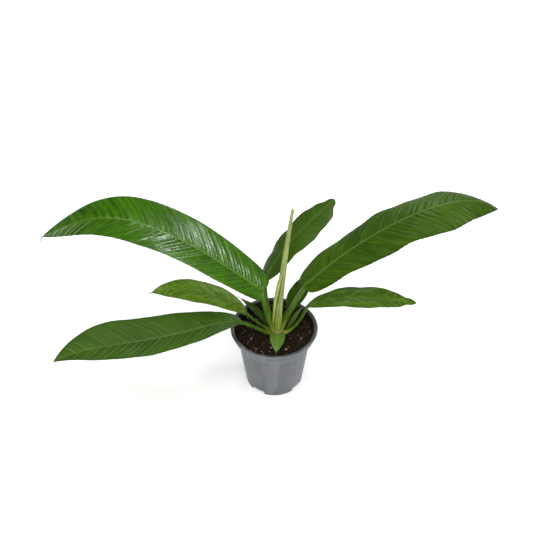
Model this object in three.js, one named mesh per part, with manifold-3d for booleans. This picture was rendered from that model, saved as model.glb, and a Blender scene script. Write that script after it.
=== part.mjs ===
// Potted philodendron: a bird's-nest philodendron with long quilted leaves in a 12 cm nursery pot.
// Millimetres, +Z up, the plant's front towards -Y.
// Everything is modelled around the pot's axis. At the end the group is shifted so that its
// origin is the middle of the underside of the whole object's box.

import * as THREE from "three";
import { mergeVertices } from "three/addons/utils/BufferGeometryUtils.js";
import Module from "manifold-3d";

const wasm = await Module();
wasm.setup();

// ---------------------------------------------------------------- driving dimensions

const GAP = 0.3; // clearance between pieces that touch
const degrees = THREE.MathUtils.degToRad;

const POT = {
  height: 97,
  rimRadius: 60, // the classic 12 cm size is measured across the rim
  rimThickness: 2,
  mouthRadius: 54.5,
  collarRadius: 57.3,
  collarBottom: 87,
  shoulderRadius: 50.4, // wall just under the collar
  shoulderHeight: 83,
  footRadius: 39.4,
  footWidth: 3.4,
  wall: 1.6,
  floorHeight: 7.5, // underside of the floor
  floorThickness: 2,
  segments: 48,
};
const NOTCHES = { count: 4, angle: degrees(30), height: 6.5, first: degrees(-35.5) };
const DRAINS = { count: 8, radius: 4, circle: 24 };

const SOIL = { surface: 85.5, edgeSurface: 88.2, slopeStart: 38 }; // the mix rises towards the wall

const STEM = { x: 5, y: -2, radius: 8.5, bottom: 48, top: 94.5, shoulder: 2.5 };
const SPEAR = {
  path: [[5, -2, 95.2], [7, -1, 160], [15, 2, 230], [23.7, 5, 298]],
  baseRadius: 5,
  tipRadius: 1.6,
};
// The sheath's front and back edges start at these angles around the rolled leaf and meet at its tip.
const SHEATH = {
  height: 0.5, thickness: 0.9, frontEdge: degrees(92), backEdge: degrees(-95), tip: degrees(146),
  tipWidth: degrees(7),
};

// Every leaf blade has a midrib, given by the control points of a Bezier curve from its base to
// its tip, and these numbers:
//   halfWidth       widest half-width, at the share peak of the length
//   baseEnd, tipEnd how the outline closes: small is blunt, large is drawn out
//   roll            turn about the midrib at base, middle and tip, degrees, + lifts the left half
//   fold            lift of both halves at base and tip, degrees
//   droop           how far the margins hang
// A stalk is given by the control points of the curve from the stem to the blade, and its radii.
const LEAVES = {
  left_large: {
    midrib: [[-14, 1, 162], [-102, 25, 223], [-199, 40, 297], [-250, 55, 243], [-315, 68, 202]],
    halfWidth: 44, peak: 0.48, baseEnd: 0.2, tipEnd: 0.88, roll: [5, -2, -10], fold: [13, 9], droop: 3.5,
    stalk: [[-5.4, -3, 95], [-9, -2, 118], [-12, 0, 140]], stalkRadius: [3.4, 4.4],
  },
  right_large: {
    midrib: [[40, 3, 169], [89, 34, 204], [165, 55, 251], [251, 82, 281], [306, 96, 227]],
    halfWidth: 46, peak: 0.59, baseEnd: 0.3, tipEnd: 0.95, roll: [-14, -9, 2], fold: [9, -8], droop: 8.5,
    stalk: [[12.6, 4.8, 95], [18.5, 7, 112], [27, 7.5, 136]], stalkRadius: [3.4, 2.8],
  },
  left_lower: {
    midrib: [[-45, -19, 127], [-98, -27, 135], [-153, -46, 97], [-228, -67, 144], [-285, -93, 124]],
    halfWidth: 38.5, peak: 0.65, baseEnd: 0.45, tipEnd: 1.02, roll: [15, -9, 7], fold: [9, 20], droop: 2,
    stalk: [[-3.6, -8.2, 89.8], [-15, -11, 98], [-30, -15, 114]], stalkRadius: [3, 2.3],
  },
  left_small: {
    midrib: [[-36, 11, 109], [-48, 14, 144], [-143, 36, 152], [-171, 42, 122]],
    halfWidth: 21.5, peak: 0.54, baseEnd: 0.7, tipEnd: 0.95, roll: [6, 3, -11], fold: [6, 12], droop: 5,
    stalk: [[-4.7, 0.7, 88.6], [-14, 3, 94], [-27, 7, 102]], stalkRadius: [2.1, 1.7],
  },
  right_small: {
    midrib: [[43, 7, 128], [68, 6, 154], [137, 14, 142], [195, 17, 126]],
    halfWidth: 21, peak: 0.53, baseEnd: 0.73, tipEnd: 0.72, roll: [-9, 4, 4], fold: [6, 17], droop: 3.5,
    stalk: [[14.7, -6.6, 90], [26, -3, 93], [38, 2, 106]], stalkRadius: [3, 2],
  },
  back: {
    midrib: [[-13, 35, 159], [12, 51, 200], [46, 81, 215], [83, 119, 227]],
    halfWidth: 25, peak: 0.5, baseEnd: 0.25, tipEnd: 0.58, roll: [-20, -12, 9], fold: [10, 3], droop: 6,
    stalk: [[1, 8.2, 95], [-9, 10, 112], [-14, 20, 140]], stalkRadius: [2.8, 2.2],
  },
  right_inner: {
    midrib: [[16.5, 18, 108], [28, 20.5, 128.5], [35.5, 30, 139.5], [53, 46, 155.5]],
    halfWidth: 14.5, peak: 0.45, baseEnd: 0.6, tipEnd: 0.9, roll: [0, 0, 0], fold: [15, 10], droop: 1.5,
    stalk: [[6.5, 8.7, 95], [9, 13, 99], [13, 16, 104]], stalkRadius: [2, 1.7],
  },
  left_inner: {
    midrib: [[-1.8, 4.8, 90], [-14, 12, 104], [-34, 17, 124], [-47, 21, 132]],
    halfWidth: 7, peak: 0.4, baseEnd: 0.5, tipEnd: 1, roll: [0, 0, 0], fold: [20, 15], droop: 1,
  },
  right_narrow: {
    midrib: [[15.6, -0.8, 91.5], [24, -2, 107], [32, 4, 121], [39, 9, 127.5]],
    halfWidth: 4.5, peak: 0.4, baseEnd: 0.5, tipEnd: 1, roll: [0, 0, 0], fold: [20, 15], droop: 0.5,
  },
  front: {
    midrib: [[5, -10.8, 94.5], [4.8, -20, 96], [3.5, -31, 95], [2.5, -43, 91]],
    halfWidth: 11, peak: 0.2, baseEnd: 0.35, tipEnd: 0.95, roll: [0, 0, 0], fold: [14, 8], droop: 1,
  },
};
const BLADE = {
  edgeThickness: 0.8,
  ribThickness: 1.6,
  baseHalfWidth: 1.2, // a blade starts and ends this wide, so that it is never a point
  tipHalfWidth: 0.5,
  stations: 26, // steps from base to tip of a large leaf
  smallStations: 14,
  endCrowding: 0.7, // how much closer together the steps are at both ends
  largeFrom: 30, // half-width from which a leaf counts as large
  across: 6,
};
const STALK = { stations: 6, pairs: 4, shortOfBlade: 1.8 };

// ---------------------------------------------------------------- materials

const MATERIALS = {
  leaf: { color: 0x2f6b1f, roughness: 0.38 },
  youngLeaf: { color: 0x4c8a2c, roughness: 0.42 },
  stalk: { color: 0x4b7a2a, roughness: 0.45 },
  spear: { color: 0xa8b566, roughness: 0.5 },
  stem: { color: 0x6d6238, roughness: 0.7 },
  soil: { color: 0x2a1c13, roughness: 0.95 },
  pot: { color: 0x7c8187, roughness: 0.42 },
};

const plant = new THREE.Group();

function add(name, geometry, look) {
  geometry.computeVertexNormals();
  const mesh = new THREE.Mesh(geometry, new THREE.MeshStandardMaterial({ ...MATERIALS[look], metalness: 0 }));
  mesh.name = name;
  plant.add(mesh);
}

// ---------------------------------------------------------------- shapes

// A Bezier curve through any number of control points.
class Bezier extends THREE.Curve {
  constructor(points) {
    super();
    this.points = points.map((point) => new THREE.Vector3(...point));
  }
  getPoint(t) {
    let row = this.points;
    while (row.length > 1) {
      row = row.slice(1).map((point, i) => row[i].clone().lerp(point, t));
    }
    return row[0].clone();
  }
}

// A closed body from cross-sections. Each section is a row of [upper, lower] point pairs.
function closedSheet(sections) {
  const pairs = sections[0].length;
  const positions = sections.flat(2).flatMap((point) => point.toArray());
  const upper = (i, j) => 2 * (i * pairs + j);
  const lower = (i, j) => upper(i, j) + 1;
  const faces = [];
  const quad = (a, b, c, d) => faces.push(a, b, c, a, c, d);
  const last = sections.length - 1;
  for (let i = 0; i < last; i += 1) {
    for (let j = 0; j < pairs - 1; j += 1) {
      quad(upper(i, j), upper(i + 1, j), upper(i + 1, j + 1), upper(i, j + 1));
      quad(lower(i, j), lower(i, j + 1), lower(i + 1, j + 1), lower(i + 1, j));
    }
    quad(upper(i, 0), lower(i, 0), lower(i + 1, 0), upper(i + 1, 0));
    quad(upper(i, pairs - 1), upper(i + 1, pairs - 1), lower(i + 1, pairs - 1), lower(i, pairs - 1));
  }
  for (let j = 0; j < pairs - 1; j += 1) {
    quad(upper(0, j), upper(0, j + 1), lower(0, j + 1), lower(0, j));
    quad(upper(last, j), lower(last, j), lower(last, j + 1), upper(last, j + 1));
  }
  const geometry = new THREE.BufferGeometry();
  geometry.setAttribute("position", new THREE.Float32BufferAttribute(positions, 3));
  geometry.setIndex(faces);
  return geometry;
}

// The point, the side direction (left, level) and the upward direction at a share of a curve.
function frameAt(curve, share) {
  const forward = curve.getTangentAt(share);
  const side = new THREE.Vector3(-forward.y, forward.x, 0).normalize();
  return { point: curve.getPointAt(share), side, up: forward.clone().cross(side) };
}

// A value that passes from its first to its last number, drawn towards the middle one.
function blend([first, middle, last], share) {
  const rest = 1 - share;
  return rest * rest * first + 2 * rest * share * middle + share * share * last;
}

function halfWidthAt(leaf, share) {
  const before = Math.max((leaf.peak - share) / leaf.peak, 0);
  const after = Math.max((share - leaf.peak) / (1 - leaf.peak), 0);
  const outline = before > 0 ? (1 - before ** 2.5) ** leaf.baseEnd : (1 - after ** 2) ** leaf.tipEnd;
  const least = THREE.MathUtils.lerp(BLADE.baseHalfWidth, BLADE.tipHalfWidth, share);
  return Math.max(leaf.halfWidth * outline, least);
}

function blade(leaf) {
  const midrib = new Bezier(leaf.midrib);
  const stations = leaf.halfWidth > BLADE.largeFrom ? BLADE.stations : BLADE.smallStations;
  const sections = [];
  for (let i = 0; i <= stations; i += 1) {
    const step = i / stations;
    const share = step - (BLADE.endCrowding * Math.sin(2 * Math.PI * step)) / (2 * Math.PI);
    const { point, side, up } = frameAt(midrib, share);
    const roll = degrees(blend(leaf.roll, share));
    const fold = degrees(THREE.MathUtils.lerp(...leaf.fold, share));
    const left = side.clone().multiplyScalar(Math.cos(roll)).addScaledVector(up, Math.sin(roll));
    const normal = up.clone().multiplyScalar(Math.cos(roll)).addScaledVector(side, -Math.sin(roll));
    const width = halfWidthAt(leaf, share);
    const section = [];
    for (let j = 0; j <= BLADE.across; j += 1) {
      const across = (2 * j) / BLADE.across - 1;
      const rise = Math.abs(across) * width * Math.sin(fold)
        - (leaf.droop * across * across * width) / leaf.halfWidth;
      const upper = point.clone()
        .addScaledVector(left, across * width * Math.cos(fold))
        .addScaledVector(normal, rise);
      const thickness = THREE.MathUtils.lerp(BLADE.ribThickness, BLADE.edgeThickness, Math.abs(across));
      section.push([upper, upper.clone().addScaledVector(normal, -thickness)]);
    }
    sections.push(section);
  }
  return closedSheet(sections);
}

// A round rod along a curve. radiusAt gives its radius at a share of the length.
function rod(curve, radiusAt, stations, pairs, end = 1) {
  const sections = [];
  for (let i = 0; i <= stations; i += 1) {
    const share = (i / stations) * end;
    const { point, side, up } = frameAt(curve, share);
    const section = [];
    for (let j = 0; j < pairs; j += 1) {
      const angle = Math.PI * (1 - (j + 0.5) / pairs);
      const across = side.clone().multiplyScalar(radiusAt(share) * Math.cos(angle));
      const above = up.clone().multiplyScalar(radiusAt(share) * Math.sin(angle));
      section.push([point.clone().add(across).add(above), point.clone().add(across).sub(above)]);
    }
    sections.push(section);
  }
  return closedSheet(sections);
}

function stalk(leaf) {
  const curve = new Bezier([...leaf.stalk, leaf.midrib[0]]);
  const end = 1 - STALK.shortOfBlade / curve.getLength();
  const radiusAt = (share) => THREE.MathUtils.lerp(...leaf.stalkRadius, share);
  return rod(curve, radiusAt, STALK.stations, STALK.pairs, end);
}

function spearRadius(share) {
  return SPEAR.tipRadius + (SPEAR.baseRadius - SPEAR.tipRadius) * (1 - share ** 2);
}

function rolledLeaf() {
  return rod(new Bezier(SPEAR.path), spearRadius, 16, 5);
}

// The papery sheath wraps the lower part of the rolled leaf and narrows to a point above.
function sheath() {
  const curve = new Bezier(SPEAR.path);
  const stations = 12;
  const pairs = 9;
  const sections = [];
  for (let i = 0; i <= stations; i += 1) {
    const rise = i / stations;
    const share = rise * SHEATH.height;
    const { point, side, up } = frameAt(curve, share);
    const inner = spearRadius(share) + 2 * GAP;
    const front = THREE.MathUtils.lerp(SHEATH.frontEdge, SHEATH.tip, rise ** 1.2);
    const back = THREE.MathUtils.lerp(SHEATH.backEdge, SHEATH.tip - SHEATH.tipWidth, rise ** 2);
    const section = [];
    for (let j = 0; j < pairs; j += 1) {
      const angle = THREE.MathUtils.lerp(front, back, j / (pairs - 1));
      const outward = side.clone().multiplyScalar(Math.cos(angle)).addScaledVector(up, Math.sin(angle));
      section.push([
        point.clone().addScaledVector(outward, inner + SHEATH.thickness),
        point.clone().addScaledVector(outward, inner),
      ]);
    }
    sections.push(section);
  }
  return closedSheet(sections);
}

// A body turned about the pot's axis, or about (x, y). The profile is [radius, height] pairs.
function turned(profile, segments, x = 0, y = 0) {
  const points = profile.map(([radius, height]) => new THREE.Vector2(radius, height));
  return new THREE.LatheGeometry(points, segments).rotateX(Math.PI / 2).translate(x, y, 0);
}

function solid(geometry) {
  geometry.deleteAttribute("normal");
  geometry.deleteAttribute("uv");
  const merged = mergeVertices(geometry, 1e-4);
  return new wasm.Manifold(new wasm.Mesh({
    numProp: 3,
    vertProperties: new Float32Array(merged.attributes.position.array),
    triVerts: new Uint32Array(merged.index.array),
  }));
}

function geometryOf(body) {
  const mesh = body.getMesh();
  const geometry = new THREE.BufferGeometry();
  geometry.setAttribute("position", new THREE.BufferAttribute(mesh.vertProperties, 3));
  geometry.setIndex(new THREE.BufferAttribute(mesh.triVerts, 1));
  return geometry;
}

// Radius of the pot's inner wall at a height below the collar.
function innerWall(height) {
  const share = height / POT.shoulderHeight;
  return THREE.MathUtils.lerp(POT.footRadius, POT.shoulderRadius, share) - POT.wall;
}

function pot() {
  const floorTop = POT.floorHeight + POT.floorThickness;
  const rimBottom = POT.height - POT.rimThickness;
  const profile = [
    [0, POT.floorHeight],
    [POT.footRadius - POT.footWidth, POT.floorHeight],
    [POT.footRadius - POT.footWidth, 0],
    [POT.footRadius, 0],
    [POT.shoulderRadius, POT.shoulderHeight],
    [POT.shoulderRadius + 1.2, POT.shoulderHeight + 0.8],
    [POT.collarRadius - 1.4, POT.collarBottom - 0.8],
    [POT.collarRadius - 0.4, POT.collarBottom + 0.6],
    [POT.collarRadius, rimBottom],
    [POT.rimRadius, rimBottom],
    [POT.rimRadius, POT.height - 0.6],
    [POT.rimRadius - 0.7, POT.height],
    [POT.mouthRadius + 0.5, POT.height],
    [POT.mouthRadius, POT.height - 1],
    [POT.mouthRadius - 0.2, POT.collarBottom + 0.4],
    [innerWall(POT.shoulderHeight), POT.shoulderHeight],
    [innerWall(floorTop), floorTop],
    [0, floorTop],
  ];
  let body = solid(turned(profile, POT.segments));
  const notchWidth = 2 * POT.footRadius * Math.sin(NOTCHES.angle / 2);
  for (let i = 0; i < NOTCHES.count; i += 1) {
    const turn = NOTCHES.first + (i * 2 * Math.PI) / NOTCHES.count;
    const notch = new THREE.BoxGeometry(notchWidth, 4 * POT.footWidth, 2 * NOTCHES.height)
      .translate(0, -POT.footRadius, 0)
      .rotateZ(turn);
    body = body.subtract(solid(notch));
  }
  for (let i = 0; i < DRAINS.count; i += 1) {
    const drain = new THREE.CylinderGeometry(DRAINS.radius, DRAINS.radius, 4 * POT.floorThickness, 12)
      .rotateX(Math.PI / 2)
      .translate(DRAINS.circle, 0, POT.floorHeight)
      .rotateZ((i * 2 * Math.PI) / DRAINS.count);
    body = body.subtract(solid(drain));
  }
  return geometryOf(body);
}

function stemProfile(grow) {
  const { radius, bottom, top, shoulder } = STEM;
  return [
    [0, bottom - grow],
    [radius * 0.6 + grow, bottom - grow],
    [radius + grow, bottom + radius - grow],
    [radius + grow, top - shoulder + grow],
    [radius - shoulder + grow, top + grow],
    [0, top + grow],
  ];
}

function soil() {
  const bottom = POT.floorHeight + POT.floorThickness + GAP;
  const edge = POT.mouthRadius - 0.2 - 2 * GAP;
  const profile = [
    [0, bottom],
    [innerWall(bottom) - GAP, bottom],
    [innerWall(POT.shoulderHeight) - 2 * GAP, POT.shoulderHeight],
    [edge, POT.collarBottom + 0.4],
    [edge, SOIL.edgeSurface],
    [edge - 3, SOIL.edgeSurface],
    [SOIL.slopeStart, SOIL.surface + 0.3],
    [0, SOIL.surface],
  ];
  const hole = turned(stemProfile(GAP), 32, STEM.x, STEM.y);
  return geometryOf(solid(turned(profile, POT.segments)).subtract(solid(hole)));
}

// ---------------------------------------------------------------- the pieces

add("pot", pot(), "pot");
add("potting_soil", soil(), "soil");
add("stem", turned(stemProfile(0), 32, STEM.x, STEM.y), "stem");
add("rolled_new_leaf", rolledLeaf(), "spear");
add("spear_sheath", sheath(), "spear");
for (const [place, leaf] of Object.entries(LEAVES)) {
  add(`leaf_${place}`, blade(leaf), leaf.halfWidth > BLADE.largeFrom ? "leaf" : "youngLeaf");
  if (leaf.stalk) add(`stalk_${place}`, stalk(leaf), "stalk");
}

const box = new THREE.Box3().setFromObject(plant);
plant.position.set(-(box.min.x + box.max.x) / 2, -(box.min.y + box.max.y) / 2, -box.min.z);
plant.updateMatrixWorld(true);

export default plant;
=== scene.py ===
"""Potted philodendron: leaves, stalks, rolled new leaf, stem, potting mix and pot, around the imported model.

Shapes are worked out in millimetres around the pot's axis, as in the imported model, and are then
moved to the model's own frame in metres.
"""

import math

import bpy
import numpy as np
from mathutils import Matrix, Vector, noise


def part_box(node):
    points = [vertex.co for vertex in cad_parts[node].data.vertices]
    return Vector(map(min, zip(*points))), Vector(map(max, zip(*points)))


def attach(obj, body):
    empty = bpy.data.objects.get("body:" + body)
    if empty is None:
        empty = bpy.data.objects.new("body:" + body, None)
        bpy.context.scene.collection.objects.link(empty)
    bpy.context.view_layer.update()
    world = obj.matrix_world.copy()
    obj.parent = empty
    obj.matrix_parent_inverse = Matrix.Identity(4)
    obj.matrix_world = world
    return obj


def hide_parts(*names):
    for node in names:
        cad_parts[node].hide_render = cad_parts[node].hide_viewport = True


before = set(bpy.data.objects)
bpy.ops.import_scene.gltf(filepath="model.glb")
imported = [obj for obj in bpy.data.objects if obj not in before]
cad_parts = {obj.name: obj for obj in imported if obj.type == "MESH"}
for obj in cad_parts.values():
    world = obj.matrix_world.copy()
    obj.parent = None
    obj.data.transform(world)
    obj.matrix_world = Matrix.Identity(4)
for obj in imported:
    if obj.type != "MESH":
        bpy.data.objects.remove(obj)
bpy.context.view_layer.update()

MM = 0.001
RANDOM = np.random.default_rng(12)
POT_LOW, POT_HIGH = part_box("pot")
AXIS = np.array([(POT_LOW.x + POT_HIGH.x) / 2, (POT_LOW.y + POT_HIGH.y) / 2, 0]) / MM

# ------------------------ the plant's measures, millimetres

# The pot's height, foot radius and taper are the rounded result of a least-squares fit.
POT = {
    "height": 97, "rim_radius": 60, "rim_thickness": 2, "mouth_radius": 54.5,
    "collar_radius": 57.3, "collar_bottom": 87, "shoulder_radius": 50.4, "shoulder_height": 83,
    "foot_radius": 39.4, "foot_width": 3.4, "wall": 1.6, "floor_height": 7.5, "floor_thickness": 2,
}
NOTCH = {"count": 4, "angle": math.radians(30), "height": 6.5, "first": math.radians(-35.5)}
DRAIN = {"count": 8, "radius": 4, "circle": 24}
SOIL_SURFACE = 85.5
STEM = {"x": 5, "y": -2, "radius": 8.5, "top": 94.5, "shown_from": 80, "scar_spacing": 4.2}
SHEATH = {"height": 0.5, "front": math.radians(92), "back": math.radians(-95), "tip": math.radians(146),
          "loose_side": math.radians(63)}
SPEAR = {"path": [(5, -2, 95.2), (7, -1, 160), (15, 2, 230), (23.7, 5, 298)], "base": 5, "tip": 1.6}

# Every leaf blade has a midrib, given by the control points of a Bezier curve from its base to its
# tip. half_width is its widest half, at the share "peak" of its length. base_end and tip_end say how
# the outline closes: small is blunt, large is drawn out. roll turns the blade about its midrib at
# base, middle and tip, and fold lifts both halves at base and tip, in degrees. droop is how far the
# margins hang. veins is the number of side veins, quilt how far the blade bulges between them, and
# wave how far its margins wave; left_wave and right_wave give the waves' count and start there. bend
# is how far the side veins curve, crowd how much closer they stand at the base, and calm how much
# flatter the right half is towards its margin. neck is where the blade narrows before its tip, and by
# what share.
# A stalk is given by its control points from the stem to the blade.
# The six larger leaves' midribs, rolls, folds and droops, and most of their peaks and bases, are the
# rounded result of a least-squares fit to the leaves' outlines in the photograph.
LEAVES = {
    "left_large": {
        "midrib": [(-14, 1, 162), (-102, 25, 223), (-199, 40, 297), (-250, 55, 243), (-315, 68, 202)],
        "half_width": 44, "peak": 0.48, "base_end": 0.2, "tip_end": 0.88,
        "roll": (5, -2, -10), "fold": (13, 9), "droop": 3.5, "veins": 41, "quilt": 1.6, "wave": 0.6,
        "calm": 0.7, "crowd": 0.17,
        "stalk": [(-5.4, -3, 95), (-9, -2, 118), (-12, 0, 140)], "stalk_radius": (4.2, 5.0),
    },
    "right_large": {
        "midrib": [(40, 3, 169), (89, 34, 204), (165, 55, 251), (251, 82, 281), (306, 96, 227)],
        "half_width": 46, "peak": 0.59, "base_end": 0.3, "tip_end": 0.95,
        "roll": (-14, -9, 2), "fold": (9, -8), "droop": 8.5, "veins": 36, "quilt": 1.3, "wave": 2.2,
        "crowd": 0.17, "left_wave": (2.94, -0.27), "right_wave": (3.03, -1.95),
        "stalk": [(12.6, 4.8, 95), (18.5, 7, 112), (27, 7.5, 136)], "stalk_radius": (4.2, 3.6),
    },
    "left_lower": {
        "midrib": [(-45, -19, 127), (-98, -27, 135), (-153, -46, 97), (-228, -67, 144), (-285, -93, 124)],
        "half_width": 38.5, "peak": 0.65, "base_end": 0.45, "tip_end": 1.02,
        "roll": (15, -9, 7), "fold": (9, 20), "droop": 2, "veins": 24, "quilt": 0.85, "wave": 0.8,
        "bend": 0.42,
        "stalk": [(-3.6, -8.2, 89.8), (-15, -11, 98), (-30, -15, 114)], "stalk_radius": (3, 2.3),
    },
    "left_small": {
        "midrib": [(-36, 11, 109), (-48, 14, 144), (-143, 36, 152), (-171, 42, 122)],
        "half_width": 21.5, "peak": 0.54, "base_end": 0.7, "tip_end": 0.95,
        "roll": (6, 3, -11), "fold": (6, 12), "droop": 5, "veins": 18, "quilt": 0.45, "wave": 0.6,
        "stalk": [(-4.7, 0.7, 88.6), (-14, 3, 94), (-27, 7, 102)], "stalk_radius": (2.1, 1.7),
    },
    "right_small": {
        "midrib": [(43, 7, 128), (68, 6, 154), (137, 14, 142), (195, 17, 126)],
        "half_width": 21, "peak": 0.53, "base_end": 0.73, "tip_end": 0.72,
        "roll": (-9, 4, 4), "fold": (6, 17), "droop": 3.5, "veins": 18, "quilt": 0.5, "wave": 1.0,
        "neck": (0.9, 0.3),
        "stalk": [(14.7, -6.6, 90), (26, -3, 93), (38, 2, 106)], "stalk_radius": (3, 2),
    },
    "back": {
        "midrib": [(-13, 35, 159), (12, 51, 200), (46, 81, 215), (83, 119, 227)],
        "half_width": 25, "peak": 0.5, "base_end": 0.25, "tip_end": 0.58,
        "roll": (-20, -12, 9), "fold": (10, 3), "droop": 6, "veins": 20, "quilt": 0.6, "wave": 1.6,
        "neck": (0.93, 0.28),
        "stalk": [(1, 8.2, 95), (-9, 10, 112), (-14, 20, 140)], "stalk_radius": (2.8, 2.2),
    },
    "right_inner": {
        "midrib": [(16.5, 18, 108), (28, 20.5, 128.5), (35.5, 30, 139.5), (53, 46, 155.5)],
        "half_width": 14.5, "peak": 0.45, "base_end": 0.6, "tip_end": 0.9,
        "roll": (0, 0, 0), "fold": (15, 10), "droop": 1.5, "veins": 12, "quilt": 0.3, "wave": 0.3,
        "stalk": [(6.5, 8.7, 95), (9, 13, 99), (13, 16, 104)], "stalk_radius": (2, 1.7),
    },
    "left_inner": {
        "midrib": [(-1.8, 4.8, 90), (-14, 12, 104), (-34, 17, 124), (-47, 21, 132)],
        "half_width": 7, "peak": 0.4, "base_end": 0.5, "tip_end": 1,
        "roll": (0, 0, 0), "fold": (20, 15), "droop": 1, "veins": 8, "quilt": 0.15, "wave": 0.3,
    },
    "right_narrow": {
        "midrib": [(15.6, -0.8, 91.5), (24, -2, 107), (32, 4, 121), (39, 9, 127.5)],
        "half_width": 4.5, "peak": 0.4, "base_end": 0.5, "tip_end": 1,
        "roll": (0, 0, 0), "fold": (20, 15), "droop": 0.5, "veins": 6, "quilt": 0.1, "wave": 0.3,
    },
    "front": {
        "midrib": [(5, -10.8, 94.5), (4.8, -20, 96), (3.5, -31, 95), (2.5, -43, 91)],
        "half_width": 11, "peak": 0.2, "base_end": 0.35, "tip_end": 0.95,
        "roll": (0, 0, 0), "fold": (14, 8), "droop": 1, "veins": 7, "quilt": 0.2, "wave": 0.2,
    },
}
LARGE = 20  # a blade with a half-width over this gets the finer mesh
FINE_GRID = (321, 65)  # points along and across a blade
COARSE_GRID = (141, 41)
END_CROWDING = 0.85  # how much closer together the points are at a blade's two ends
RIB_CROWDING = 1.45  # and towards its midrib: over 1 is closer
CRUMB_CLEARANCE = 1.5  # between the crumbs and the pot's wall

# ------------------------ node materials


class Graph:
    """A material's node tree, with a short call for each kind of node it uses."""

    def __init__(self, name):
        self.material = bpy.data.materials.new(name)
        self.material.use_nodes = True
        self.nodes = self.material.node_tree.nodes
        self.links = self.material.node_tree.links
        self.shader = self.nodes["Principled BSDF"]

    def feed(self, socket, value):
        if isinstance(value, bpy.types.NodeSocket):
            self.links.new(value, socket)
        elif isinstance(value, tuple) and socket.type == "RGBA":
            socket.default_value = (*value, 1)
        else:
            socket.default_value = value

    def set(self, **values):
        for name, value in values.items():
            self.feed(self.shader.inputs[name.replace("_", " ")], value)

    def value(self, attribute):
        node = self.nodes.new("ShaderNodeAttribute")
        node.attribute_name = attribute
        return node.outputs["Fac"]

    def place(self):
        return self.nodes.new("ShaderNodeTexCoord").outputs["Object"]

    def math(self, operation, first, second):
        node = self.nodes.new("ShaderNodeMath")
        node.operation = operation
        for socket, value in zip(node.inputs, (first, second)):
            self.feed(socket, value)
        return node.outputs[0]

    def noise(self, scale, detail=3.0, roughness=0.55, vector=None):
        node = self.nodes.new("ShaderNodeTexNoise")
        node.inputs["Scale"].default_value = scale
        node.inputs["Detail"].default_value = detail
        node.inputs["Roughness"].default_value = roughness
        self.feed(node.inputs["Vector"], vector or self.place())
        return node.outputs["Fac"]

    def cells(self, scale):
        node = self.nodes.new("ShaderNodeTexVoronoi")
        node.inputs["Scale"].default_value = scale
        self.feed(node.inputs["Vector"], self.place())
        return node.outputs["Distance"]

    def stretch(self, x, y, z):
        node = self.nodes.new("ShaderNodeMapping")
        self.feed(node.inputs["Vector"], self.place())
        node.inputs["Scale"].default_value = (x, y, z)
        return node.outputs[0]

    def vein_place(self, per_vein, per_mm):
        """A place that runs quickly from vein to vein and slowly along each vein."""
        node = self.nodes.new("ShaderNodeCombineXYZ")
        self.feed(node.inputs["X"], self.math("MULTIPLY", self.value("vein_phase"), per_vein))
        self.feed(node.inputs["Y"], self.math("MULTIPLY", self.value("across_mm"), per_mm))
        return node.outputs[0]

    def step(self, value, low, high, to_low=0.0, to_high=1.0):
        """A smooth passage from to_low at low to to_high at high."""
        node = self.nodes.new("ShaderNodeMapRange")
        node.interpolation_type = "SMOOTHSTEP"
        for socket, number in zip(node.inputs, (value, low, high, to_low, to_high)):
            self.feed(socket, number)
        return node.outputs[0]

    def mix(self, share, first, second):
        node = self.nodes.new("ShaderNodeMix")
        node.data_type = "RGBA"
        factor, first_colour, second_colour, mixed_colour = 0, 6, 7, 2  # the colour sockets
        self.feed(node.inputs[factor], share)
        self.feed(node.inputs[first_colour], first)
        self.feed(node.inputs[second_colour], second)
        return node.outputs[mixed_colour]

    def bump(self, height, strength, distance):
        node = self.nodes.new("ShaderNodeBump")
        node.inputs["Strength"].default_value = strength
        node.inputs["Distance"].default_value = distance
        self.feed(node.inputs["Height"], height)
        return node.outputs[0]

    def finish(self, colour, grain, smoothest, roughest, strength, distance, shine=0.5):
        """Ends a material whose roughness and bump both follow one grain."""
        self.set(Base_Color=colour, Roughness=self.step(grain, 0.3, 0.7, smoothest, roughest),
                 Normal=self.bump(grain, strength, distance))
        self.shader.inputs["Specular IOR Level"].default_value = shine
        return self.material


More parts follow.
